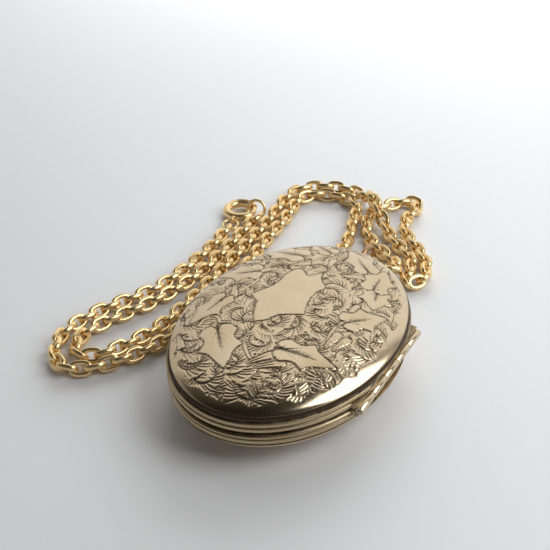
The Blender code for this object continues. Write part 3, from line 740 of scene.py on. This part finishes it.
def border_numbers(cells_x, cells_y):
    """The outer points of a grid, in order round it."""
    columns = cells_y + 1
    low = [i * columns for i in range(cells_x)]
    right = [cells_x * columns + j for j in range(cells_y)]
    high = [i * columns + cells_y for i in range(cells_x, 0, -1)]
    left = [j for j in range(cells_y, 0, -1)]
    return np.array(low + right + high + left)


def on_one_side(first, second, rows, columns):
    """True if two border points of a coarse grid are neighbours along one side of it."""
    i, j = divmod(first, columns)
    k, m = divmod(second, columns)
    return (i == k and i in (0, rows - 1)) or (j == m and j in (0, columns - 1))


def patina_and_edge_shade_of(work, x, y):
    """Dark patina in the cuts, painted shade in a band round the dome's edge where it meets the rim, and
    none on the rest of what is plain.
    """
    # Painted shade: the outermost band of the dome is darkened where it meets the rim.
    edge = smooth_step((np.hypot(x / work.half_x, y / work.half_y) - 0.985) / 0.008)
    return np.maximum(smooth_step((work.sample(x, y) - 0.042) / 0.05), 1.8 * edge)


def back_cover_mesh():
    """The domed back sheet, flat at its middle inside and out."""
    rise = BACK_DOME_FULL - RIM_HEIGHT - SOLDER_GAP
    cap = math.asin((BACK_DOME_DEPTH - RIM_HEIGHT - SOLDER_GAP) / rise)
    inset = DOME_EDGE + SHEET

    def level(inset, height, turn=0.0):
        out = math.cos(turn)
        return oval_loop((HALF_WIDTH - inset) * out, (HALF_LENGTH - inset) * out,
                         SEAM_Z - RIM_HEIGHT - height)

    loops = [level(DOME_EDGE, SOLDER_GAP + rise * math.sin(t), t) for t in np.linspace(cap, 0, 29)]
    loops += [level(DOME_EDGE, SKIRT), level(inset, SKIRT)]
    loops += [level(inset, SOLDER_GAP + (rise - SHEET) * math.sin(t), t) for t in np.linspace(0, cap, 17)]
    return mesh_from_loops("back_sheet", loops, closed=False)


# --- rims, hinge and frames ---
def rim_mesh(name, side, inner):
    """The beaded wall of one half, with its hinge seat; the seams and grooves are darkened by tarnish and
    painted shade.
    """
    profile = [(inset, side * height) for inset, height in soften(RIM_PROFILE, 5).tolist() + inner]
    half = HINGE_LENGTH / 2
    end = half + KNUCKLE_GAP
    middle = SEAM_Z + side * STRIP_MIDDLE
    strip = box(name + "_strip", (STRIP_X[0], -half, middle - STRIP_HALF),
                (STRIP_X[1], half, middle + STRIP_HALF))
    inside = oval_plate(name + "_inside", RIM_INNER - 0.35, -3.0, 3.0)
    hollow = turned_bar(name + "_hollow", (HINGE_X, -end, SEAM_Z), (HINGE_X, end, SEAM_Z),
                        [(0, 0, SEAT_RADIUS), (1, 0, SEAT_RADIUS)], 64)
    trim = box(name + "_trim", (SEAT_TRIM_X, -end, SEAM_Z - 3), (17, end, SEAM_Z + 3))
    steps = [(carve(strip, [(inside, "DIFFERENCE")]), "UNION"), (hollow, "DIFFERENCE"),
             (trim, "DIFFERENCE")]
    if side > 0:
        wall_x = RIM_INNER - HALF_WIDTH
        low, high = RECESS_HEIGHTS
        recess = box(name + "_recess", (wall_x - 0.16, -RECESS_HALF, SEAM_Z + low),
                     (wall_x + 0.5, RECESS_HALF, SEAM_Z + high))
        steps.append((recess, "DIFFERENCE"))
    mesh = carve(oval_ring(name, profile), steps)
    points = np.zeros(len(mesh.vertices) * 3)
    mesh.vertices.foreach_get("co", points)
    x, y, _ = points.reshape(-1, 3).T / MM
    inset = HALF_WIDTH * (1 - np.hypot(x / HALF_WIDTH, y / HALF_LENGTH))
    # Darker the deeper the inset, over the grooves and the seam: tarnish and painted shade together.
    keep_patina_and_shade(mesh, smooth_step((inset - 0.06) / 0.18) * (1 - smooth_step((inset - 0.58) / 0.08)))
    return mesh


def frame_mesh(name, outer, inner, foot, face, side):
    """A photo frame: an upright wall with a flat lip over the pane."""
    wall = outer + 0.6
    lip = face - side * 0.23
    edge = face - side * 0.1
    return oval_ring(name, [(outer, foot), (outer, edge), (outer + 0.03, face - side * 0.03),
                            (outer + 0.1, face), (inner - 0.1, face), (inner - 0.03, face - side * 0.03),
                            (inner, edge), (inner, lip), (wall, lip), (wall, foot)])


def knuckle_mesh(name, start, length):
    """One hinge tube with softened ends."""
    bore = PIN_RADIUS + PIN_CLEARANCE
    outer, soft = KNUCKLE_RADIUS, 0.05
    profile = [(0, 0, outer - soft), (0, 0.015, outer - soft * 0.4), (0, soft, outer), (1, -soft, outer),
               (1, -0.015, outer - soft * 0.4), (1, 0, outer - soft), (1, 0, bore), (0, 0, bore)]
    return turned_bar(name, (HINGE_X, start, SEAM_Z), (HINGE_X, start + length, SEAM_Z), profile, 56, True)


def add_hinge(gold, steel):
    pitch = HINGE_LENGTH / KNUCKLES
    counts = {"back": 0, "front": 0}
    for i in range(KNUCKLES):
        half = "front" if i % 2 else "back"
        counts[half] += 1
        name = f"{half}_knuckle_{counts[half]}"
        start = -HINGE_LENGTH / 2 + i * pitch + KNUCKLE_GAP / 2
        add_piece("fine_" + name, knuckle_mesh(name, start, pitch - KNUCKLE_GAP), gold,
                  "cover" if half == "front" else "back", name)
    end = HINGE_LENGTH / 2 + PIN_END
    profile = [(0, 0.0, 0.12), (0, 0.03, 0.20), (0, 0.08, PIN_RADIUS), (1, -0.08, PIN_RADIUS),
               (1, -0.03, 0.20), (1, 0.0, 0.12)]
    pin = turned_bar("pin", (HINGE_X, -end, SEAM_Z), (HINGE_X, end, SEAM_Z), profile, 32)
    add_piece("fine_hinge_pin", pin, steel, "back", "hinge_pin")


def add_inside(half, body, things):
    """The photo frame, pane and card of one half, each a mesh and its material."""
    names = (("photo_frame", "photo_frame"), ("crystal", "crystal"), ("card", "photo_card"))
    for (name, node), (mesh, material) in zip(names, things):
        add_piece(f"fine_{half}_{name}", mesh, material, body, f"{half}_{node}")


def add_back_half(gold, rim_tarnish_and_shade, pane, card):
    inner = [(0.95, RIM_HEIGHT), (RIM_INNER, RIM_HEIGHT), (RIM_INNER, SEAM_GAP)]
    add_piece("beaded_back_rim", rim_mesh("back_rim", -1, inner), rim_tarnish_and_shade, "back", "back_rim")
    add_piece("domed_back_cover", back_cover_mesh(), gold, "back", "back_cover")
    bezel = oval_ring("bezel", [
        (BEZEL_OUTER, -1.5), (BEZEL_OUTER, BEZEL_TOP - 0.15), (BEZEL_OUTER + 0.04, BEZEL_TOP - 0.04),
        (BEZEL_OUTER + 0.12, BEZEL_TOP), (BEZEL_INNER, BEZEL_TOP), (BEZEL_INNER, -1.2),
        (LEDGE_INNER, -1.2), (LEDGE_INNER, -1.5)])
    add_piece("fine_snap_bezel", bezel, gold, "back", "snap_bezel")
    add_inside("back", "back", [
        (frame_mesh("back_frame", *BACK_FRAME, 1), gold),
        (oval_plate("back_pane", BACK_PANE_INSET, *BACK_PANE), pane),
        (oval_plate("back_card", BACK_PANE_INSET, *BACK_CARD), card)])


def add_cover(gold, engraved, rim_tarnish_and_shade, pane, card):
    inner = [(0.95, RIM_HEIGHT), (1.2, RIM_HEIGHT), (LEDGE_INNER, RIM_HEIGHT - 0.55),
             (LEDGE_INNER, LEDGE_HEIGHT), (RIM_INNER, LEDGE_HEIGHT), (RIM_INNER, SEAM_GAP)]
    add_piece("beaded_front_rim", rim_mesh("front_rim", 1, inner), rim_tarnish_and_shade, "cover", "front_rim")
    add_piece("engraved_front_cover", front_cover_mesh(engrave()), engraved, "cover", "front_cover")
    add_inside("front", "cover", [
        (frame_mesh("front_frame", *FRONT_FRAME, -1), gold),
        (oval_plate("front_pane", FRONT_PANE_INSET, *FRONT_PANE), pane),
        (oval_plate("front_card", FRONT_PANE_INSET, *FRONT_CARD), card)])
    add_piece("fine_nail_lip", nail_lip_mesh(), gold, "cover", "nail_lip")


def nail_lip_mesh():
    loops = []
    for height, shrink in ((0.28, 0.06), (0.32, 0.0), (0.62, 0.0), (0.68, 0.04), (0.70, 0.12)):
        arc = []
        for i in range(33):
            a = math.pi / 2 + math.pi * i / 32
            reach = 0.85 - shrink
            arc.append((-HALF_WIDTH - SOLDER_GAP + reach * math.cos(a), (2.2 - shrink) * math.sin(a),
                        SEAM_Z + height))
        loops.append(arc)
    return mesh_from_loops("nail_lip", loops, closed=False)


def add_lug_and_bail(gold):
    lug = torus("lug", (0, LUG_Y, LUG_Z), LUG_RADIUS, LUG_WIRE, Matrix.Identity(3), 64, 20)
    foot = box("foot", (-1.1, HALF_LENGTH - 1.2, LUG_Z - 0.36), (1.1, HALF_LENGTH + 0.3, LUG_Z + 0.36))
    rim_side = oval_plate("rim_side", -SOLDER_GAP, -3, 3)
    lug = carve(lug, [(foot, "UNION"), (rim_side, "DIFFERENCE")])
    add_piece("fine_bail_lug", lug, gold, "back", "bail_lug")
    upright = Matrix.Rotation(math.radians(90), 3, "Y")
    ring = torus("bail", BAIL_CENTRE, BAIL_RADIUS, BAIL_WIRE, upright, 96, 20)
    add_piece("fine_bail_ring", ring, gold, "bail", "bail_ring")


# --- chain ---
def smooth_route(route):
    points = np.array([(p[0], p[1], p[2] if len(p) > 2 else CHAIN_Z) for p in route])
    return soften(points, 12)


def link_loops(centre, along, up, tilt, pitch):
    """One oval link of strip wire, turned about the chain's line."""
    across = np.cross(along, up) * math.cos(tilt) + up * math.sin(tilt)
    normal = np.cross(along, across)
    half_length = (pitch + LINK_WIRE) / 2
    half_width = (LINK_WIDTH - LINK_WIRE) / 2
    loops = []
    for a in turns(LINK_STEPS[0]):
        out = np.array([math.cos(a) / half_length, math.sin(a) / half_width])
        out /= np.linalg.norm(out)
        middle = centre + along * half_length * squared(math.cos(a), LINK_OVAL)
        middle = middle + across * half_width * squared(math.sin(a), LINK_OVAL)
        outward = along * out[0] + across * out[1]
        loops.append([middle + outward * LINK_WIRE / 2 * squared(math.cos(b), WIRE_OVAL)
                      + normal * LINK_BAND / 2 * squared(math.sin(b), WIRE_OVAL)
                      for b in turns(LINK_STEPS[1])])
    return loops


def squared(value, power):
    """Push a sine or cosine outwards, so that a circle becomes a rounded square."""
    return math.copysign(abs(value) ** power, value)


def chain_mesh(name, line, first, last, parity):
    """Links along a line, every other one turned the other way."""
    steps = np.linalg.norm(np.diff(line, axis=0), axis=1)
    reached = np.concatenate([[0], np.cumsum(steps)])
    span = reached[-1] - first - last
    count = round(span / LINK_PITCH)
    pitch = span / count
    rng = np.random.default_rng(SEED + parity)

    def at(s):
        return np.array([np.interp(s, reached, line[:, c]) for c in range(3)])

    points, faces = [], []
    for k in range(count + 1):
        s = first + k * pitch
        along = at(s + 0.4) - at(s - 0.4)
        along /= np.linalg.norm(along)
        side = np.cross(along, (0, 0, 1))
        up = np.cross(side / np.linalg.norm(side), along)
        lean = math.radians(45 if (k + parity) % 2 else -45)
        tilt = lean + math.radians(6) * rng.uniform(-1, 1)
        loops = np.array(link_loops(at(s) + (0, 0, LINK_LIFT), along, up, tilt, pitch))
        faces.append(quads(loops.shape[0], loops.shape[1], True, True) + sum(len(p) for p in points))
        points.append(loops.reshape(-1, 3))
    return mesh_from(name, np.vstack(points), np.vstack(faces).tolist(), 60)


def add_chain(gold, on_left, on_right):
    for name, route, parity, beside in (("left", CHAIN_LEFT_ROUTE, 0, on_left),
                                        ("right", CHAIN_RIGHT_ROUTE, 1, on_right)):
        line = smooth_route(route)
        mesh = chain_mesh("chain_" + name, line, LINK_FIRST, LINK_LAST, parity)
        piece = add_piece(f"linked_chain_{name}", mesh, gold, "back", "chain_" + name)


def threaded_links(gold):
    line = np.array([(x, THREADED_Y, THREADED_Z) for x in (-LINK_PITCH, 0, LINK_PITCH)])
    mesh = chain_mesh("threaded", line, 0.0, 0.0, 1)
    return add_piece("threaded_links", mesh, gold, "bail", "threaded_chain")


# --- bolt ring ---
def clasp_point(turn, distance, z=CLASP[2]):
    return Vector((CLASP[0] + distance * math.cos(turn), CLASP[1] + distance * math.sin(turn), z))


def arc_bar(name, start, end, wire, bore=0.0, around=72, sides=24, lift=0.0):
    """A bar, or with a bore a tube, bent along the bolt ring's circle, with softened ends."""
    centre = Vector((CLASP[0], CLASP[1], CLASP[2] + lift))

    def circle(a, r):
        return wire_section(centre, CLASP_RADIUS, r, Matrix.Identity(3), a, sides)

    angles = [MOUTH_TURN + start + (end - start) * i / around for i in range(around + 1)]
    soft = 0.04
    step = soft / CLASP_RADIUS
    loops = [circle(angles[0], wire - soft), circle(angles[0] + step, wire)]
    loops += [circle(a, wire) for a in angles[1:-1]]
    loops += [circle(angles[-1] - step, wire), circle(angles[-1], wire - soft)]
    if bore:
        loops += [circle(a, bore) for a in reversed(angles)]
    return mesh_from_loops(name, loops, closed=bool(bore))


def bolt_ring_mesh(eye_distance):
    """The bent tube with the slot of its knob, and the eye of the joining ring."""
    tube = arc_bar("clasp", MOUTH_HALF, 2 * math.pi - MOUTH_HALF, CLASP_TUBE, CLASP_BORE)
    slot = arc_bar("slot", *SLOT_RANGE, SLOT_HALF_WIDTH, sides=12, around=24, lift=CLASP_TUBE - 0.1)
    upright = Matrix.Rotation(EYE_TURN, 3, "Z") @ Matrix.Rotation(math.radians(90), 3, "X")
    eye = torus("eye", clasp_point(EYE_TURN, eye_distance), EYE_RADIUS, EYE_WIRE, upright, 40, 16)
    return carve(tube, [(slot, "DIFFERENCE"), (eye, "UNION")])


def bolt_mesh():
    turn = MOUTH_TURN + KNOB_TURN
    knob = turned_bar("knob", clasp_point(turn, CLASP_RADIUS),
                      clasp_point(turn, CLASP_RADIUS, CLASP[2] + KNOB_TOP),
                      [(0, 0, 0.15), (1, -0.06, 0.15), (1, -0.02, 0.12), (1, 0, 0.07)], 20)
    return carve(arc_bar("bolt", *BOLT_RANGE, BOLT_RADIUS, around=48), [(knob, "UNION")])


def add_clasp(gold, steel):
    """The bolt ring with its bolt and spring, and the two rings that join the chain."""
    eye_distance = CLASP_RADIUS + CLASP_TUBE + EYE_REACH
    tilt = Matrix.Rotation(EYE_TURN, 3, "Z") @ Matrix.Rotation(math.radians(8), 3, "Y")
    joining = torus("ring", clasp_point(EYE_TURN, eye_distance + RING_RADIUS, CLASP[2] - 0.1),
                    RING_RADIUS, RING_WIRE, tilt, 56, 16)
    lean = (Matrix.Rotation(MOUTH_TURN, 3, "Z") @ Matrix.Rotation(math.radians(90), 3, "X")
            @ Matrix.Rotation(END_RING_LEAN, 3, "X"))
    ending = torus("end_ring", clasp_point(MOUTH_TURN, CLASP_RADIUS + 0.42, CLASP[2] + 0.62),
                   END_RING_RADIUS, END_RING_WIRE, lean, 56, 16)
    return [add_piece("bolt_ring_body", bolt_ring_mesh(eye_distance), gold, "back", "clasp_body"),
            add_piece("clasp_joining_ring", joining, gold, "back", "clasp_link"),
            add_piece("bolt_with_knob", bolt_mesh(), gold, "clasp_bolt", "clasp_trigger"),
            add_piece("bolt_spring", spring_mesh(), steel, "back", "clasp_spring"),
            add_piece("chain_end_ring", ending, gold, "back", "end_ring")]


def spring_mesh():
    steps, sides = 16, 8
    start, end = SPRING_RANGE
    loops = []
    for i in range(SPRING_TURNS * steps + 1):
        along = MOUTH_TURN + start + (end - start) * i / (SPRING_TURNS * steps)
        around = 2 * math.pi * i / steps
        out = Vector((math.cos(along), math.sin(along), 0))
        spoke = out * math.cos(around) + Vector((0, 0, 1)) * math.sin(around)
        tangent = Vector((-math.sin(along), math.cos(along), 0))
        middle = Vector(CLASP) + out * CLASP_RADIUS + spoke * SPRING_RADIUS
        loops.append([middle + (spoke * math.cos(b) + tangent * math.sin(b)) * SPRING_WIRE
                      for b in turns(sides)])
    return mesh_from_loops("spring", loops, closed=False)


# --- materials ---
class Nodes:
    """Short ways to add and join shader nodes."""

    def __init__(self, tree):
        self.tree = tree

    def feed(self, node, inputs):
        """Set each input, or link it where it is given a socket."""
        for key, value in inputs.items():
            if isinstance(value, bpy.types.NodeSocket):
                self.tree.links.new(value, node.inputs[key])
            else:
                node.inputs[key].default_value = value

    def add(self, kind, output, inputs, **settings):
        """Add a node and give back one of its outputs."""
        node = self.tree.nodes.new(kind)
        for key, value in settings.items():
            setattr(node, key, value)
        self.feed(node, inputs)
        return node.outputs[output]

    def noise(self, coordinates, scale, detail, roughness=0.5):
        return self.add("ShaderNodeTexNoise", "Fac", {"Vector": coordinates, "Scale": scale,
                                                      "Detail": detail, "Roughness": roughness})

    def ramp(self, value, low, high, start=0.0, end=1.0):
        return self.add("ShaderNodeMapRange", "Result", {"Value": value, "From Min": low, "From Max": high,
                                                         "To Min": start, "To Max": end})

    def mix(self, factor, first, second):
        return self.add("ShaderNodeMix", 2, {0: factor, 6: first, 7: second}, data_type="RGBA")

    def combine(self, operation, first, second, clamp=False):
        return self.add("ShaderNodeMath", 0, {0: first, 1: second}, operation=operation, use_clamp=clamp)

    def bump(self, height, strength, distance):
        return self.add("ShaderNodeBump", "Normal", {"Height": height, "Strength": strength,
                                                     "Distance": distance})


def new_material(name):
    material = bpy.data.materials.new(name)
    material.use_nodes = True
    nodes = Nodes(material.node_tree)
    shader = material.node_tree.nodes["Principled BSDF"]
    return material, nodes, shader, nodes.add("ShaderNodeTexCoord", "Object", {})


def scratches(nodes, coordinates, turn, scale):
    """Long thin marks in one direction, as a height."""
    mapped = nodes.add("ShaderNodeMapping", "Vector", {"Vector": coordinates, "Rotation": (0, 0, turn),
                                                       "Scale": (scale, scale * 0.04, scale)})
    return nodes.noise(mapped, 1.0, 2.0)


def gold_material(name, colour, roughness, patina_and_shade=False, metallic=1.0):
    """Worn polished metal; with patina and shade, dark where the mesh's own attribute says so, for patina
    and painted shade alike.
    """
    material, nodes, shader, coordinates = new_material(name)
    worn = nodes.noise(coordinates, 220.0, 4.0, 0.6)
    deeper = [c * f for c, f in zip(colour, (0.93, 0.88, 0.80))]
    base = nodes.mix(nodes.ramp(worn, 0.3, 0.7), (*colour, 1), (*deeper, 1))
    marks = nodes.combine("ADD", scratches(nodes, coordinates, 0.5, 9000.0),
                          scratches(nodes, coordinates, -1.1, 12000.0))
    rough = nodes.ramp(worn, 0.3, 0.75, roughness * 0.8, roughness * 1.35)
    if patina_and_shade:
        dark = nodes.add("ShaderNodeAttribute", "Fac", {}, attribute_name="patina_and_shade")
        # Patchy darkening, over the patina and the painted shade alike.
        patchiness = nodes.ramp(nodes.noise(coordinates, 900.0, 4.0, 0.6), 0.25, 0.7, 0.55, 1.1)
        share = nodes.combine("MULTIPLY", dark, patchiness, clamp=True)
        base = nodes.mix(share, base, (*PATINA_AND_SHADE, 1))
        rough = nodes.combine("ADD", rough, nodes.ramp(share, 0.0, 1.0, 0.0, 0.38))
    nodes.feed(shader, {"Base Color": base, "Roughness": rough, "Metallic": metallic,
                        "Normal": nodes.bump(marks, 0.04, 0.00002)})
    return material


def steel_material():
    material, nodes, shader, coordinates = new_material("steel")
    grain = nodes.noise(coordinates, 4000.0, 2.0)
    nodes.feed(shader, {"Base Color": nodes.mix(grain, (*STEEL, 1), (*STEEL_DARK, 1)), "Metallic": 1.0,
                        "Roughness": nodes.ramp(grain, 0.0, 1.0, 0.28, 0.42)})
    return material


def pane_material():
    material, nodes, shader, coordinates = new_material("pane")
    marks = nodes.noise(coordinates, 1500.0, 3.0)
    nodes.feed(shader, {"Base Color": (*PANE, 1), "Transmission Weight": 1.0, "IOR": 1.46,
                        "Roughness": nodes.ramp(marks, 0.4, 0.8, 0.02, 0.09)})
    return material


def card_material():
    material, nodes, shader, coordinates = new_material("card")
    fibres = nodes.noise(coordinates, 2500.0, 5.0, 0.65)
    base = nodes.mix(fibres, (*CARD, 1), (*(c * 0.92 for c in CARD), 1))
    nodes.feed(shader, {"Base Color": base, "Roughness": 0.75, "Normal": nodes.bump(fibres, 0.2, 0.00003)})
    return material


# --- room ---
def add_floor():
    corners = FLOOR_HALF * np.array([(-1, -1, 0), (1, -1, 0), (1, 1, 0), (-1, 1, 0)])
    mesh = mesh_from("floor", corners, [[0, 1, 2, 3]])
    floor = bpy.data.objects.new("floor", mesh)
    bpy.context.scene.collection.objects.link(floor)
    material, nodes, shader, _ = new_material("floor")
    nodes.feed(shader, {"Base Color": (*FLOOR, 1), "Roughness": 0.6})
    mesh.materials.append(material)


def add_area(name, at, to, size, power, colour, reflected):
    data = bpy.data.lights.new(name, "AREA")
    data.shape = "RECTANGLE"
    data.size, data.size_y = size[0] * MM, size[1] * MM
    data.energy = power
    data.color = colour
    light = bpy.data.objects.new(name, data)
    light.visible_glossy = reflected
    light.visible_camera = False
    aim(light, at, to)


def add_world():
    """A bright wall at the back, dimmer to the left, grey walls round the rest, and dark overhead."""
    world = bpy.data.worlds.new("studio")
    bpy.context.scene.world = world
    world.use_nodes = True
    nodes = Nodes(world.node_tree)
    direction = nodes.add("ShaderNodeTexCoord", "Generated", {})

    def share_along(x, y):
        return nodes.add("ShaderNodeVectorMath", "Value", {0: direction, 1: (x, y, 0.0)},
                         operation="DOT_PRODUCT")

    toward = share_along(*TO_CAMERA)
    rightward = share_along(-TO_CAMERA[1], TO_CAMERA[0])
    height = nodes.add("ShaderNodeSeparateXYZ", "Z", {0: direction})
    ceiling = nodes.ramp(toward, -0.52, -0.36)
    front = nodes.ramp(toward, -0.30, 0.10)
    low = nodes.combine("MULTIPLY", nodes.ramp(height, 0.35, 0.60, 1.0, 0.0), ceiling)
    colour = nodes.mix(nodes.ramp(rightward, -0.55, 0.0), (*WALL_LEFT, 1), (*WALL, 1))
    for share, shade in ((ceiling, CEILING), (front, DARK_FRONT), (low, LOW_WALLS)):
        colour = nodes.mix(share, colour, (*shade, 1))
    nodes.feed(world.node_tree.nodes["Background"], {"Color": colour, "Strength": 1.0})


def add_lights():
    add_area("window", (150, 62, 150), (0, 0, 5), (150, 190), 0.31, (0.95, 0.98, 1.0), True)
    add_area("far_sky", (-80, 235, 110), (-60, 90, 0), (200, 140), 0.44, (0.96, 0.985, 1.0), False)


def main():
    bpy.context.scene.view_settings.view_transform = "Standard"
    make_camera()
    add_world()
    add_lights()
    add_floor()
    gold = gold_material("pale_gold", CASE_GOLD, 0.16)
    engraved = gold_material("engraved_gold", CASE_GOLD, 0.17, patina_and_shade=True)
    # The rims: painted shade in their darker gold, with tarnish and painted shade in their grooves and
    # seam.
    tarnished_and_shaded = gold_material("tarnished_and_shaded_gold", SHADED_RIM_GOLD, 0.30, patina_and_shade=True)
    chain_gold = gold_material("rich_gold", CHAIN_GOLD, 0.22, metallic=0.85)
    # The bail ring and lug: painted shade in a darker, browner gold.
    shaded_brown_gold = gold_material("shaded_brown_gold", SHADED_BAIL_GOLD, 0.32)
    steel = steel_material()
    pane = pane_material()
    card = card_material()
    threaded = threaded_links(chain_gold)
    body, joining, bolt, spring, end_ring = add_clasp(chain_gold, steel)
    add_chain(chain_gold, [threaded, body, joining, bolt, spring], [end_ring])
    add_back_half(gold, tarnished_and_shaded, pane, card)
    add_cover(gold, engraved, tarnished_and_shaded, pane, card)
    add_hinge(gold, steel)
    add_lug_and_bail(shaded_brown_gold)
    catch = bpy.data.objects["catch_bead"]
    catch.data.materials.clear()
    catch.data.materials.append(gold)


main()
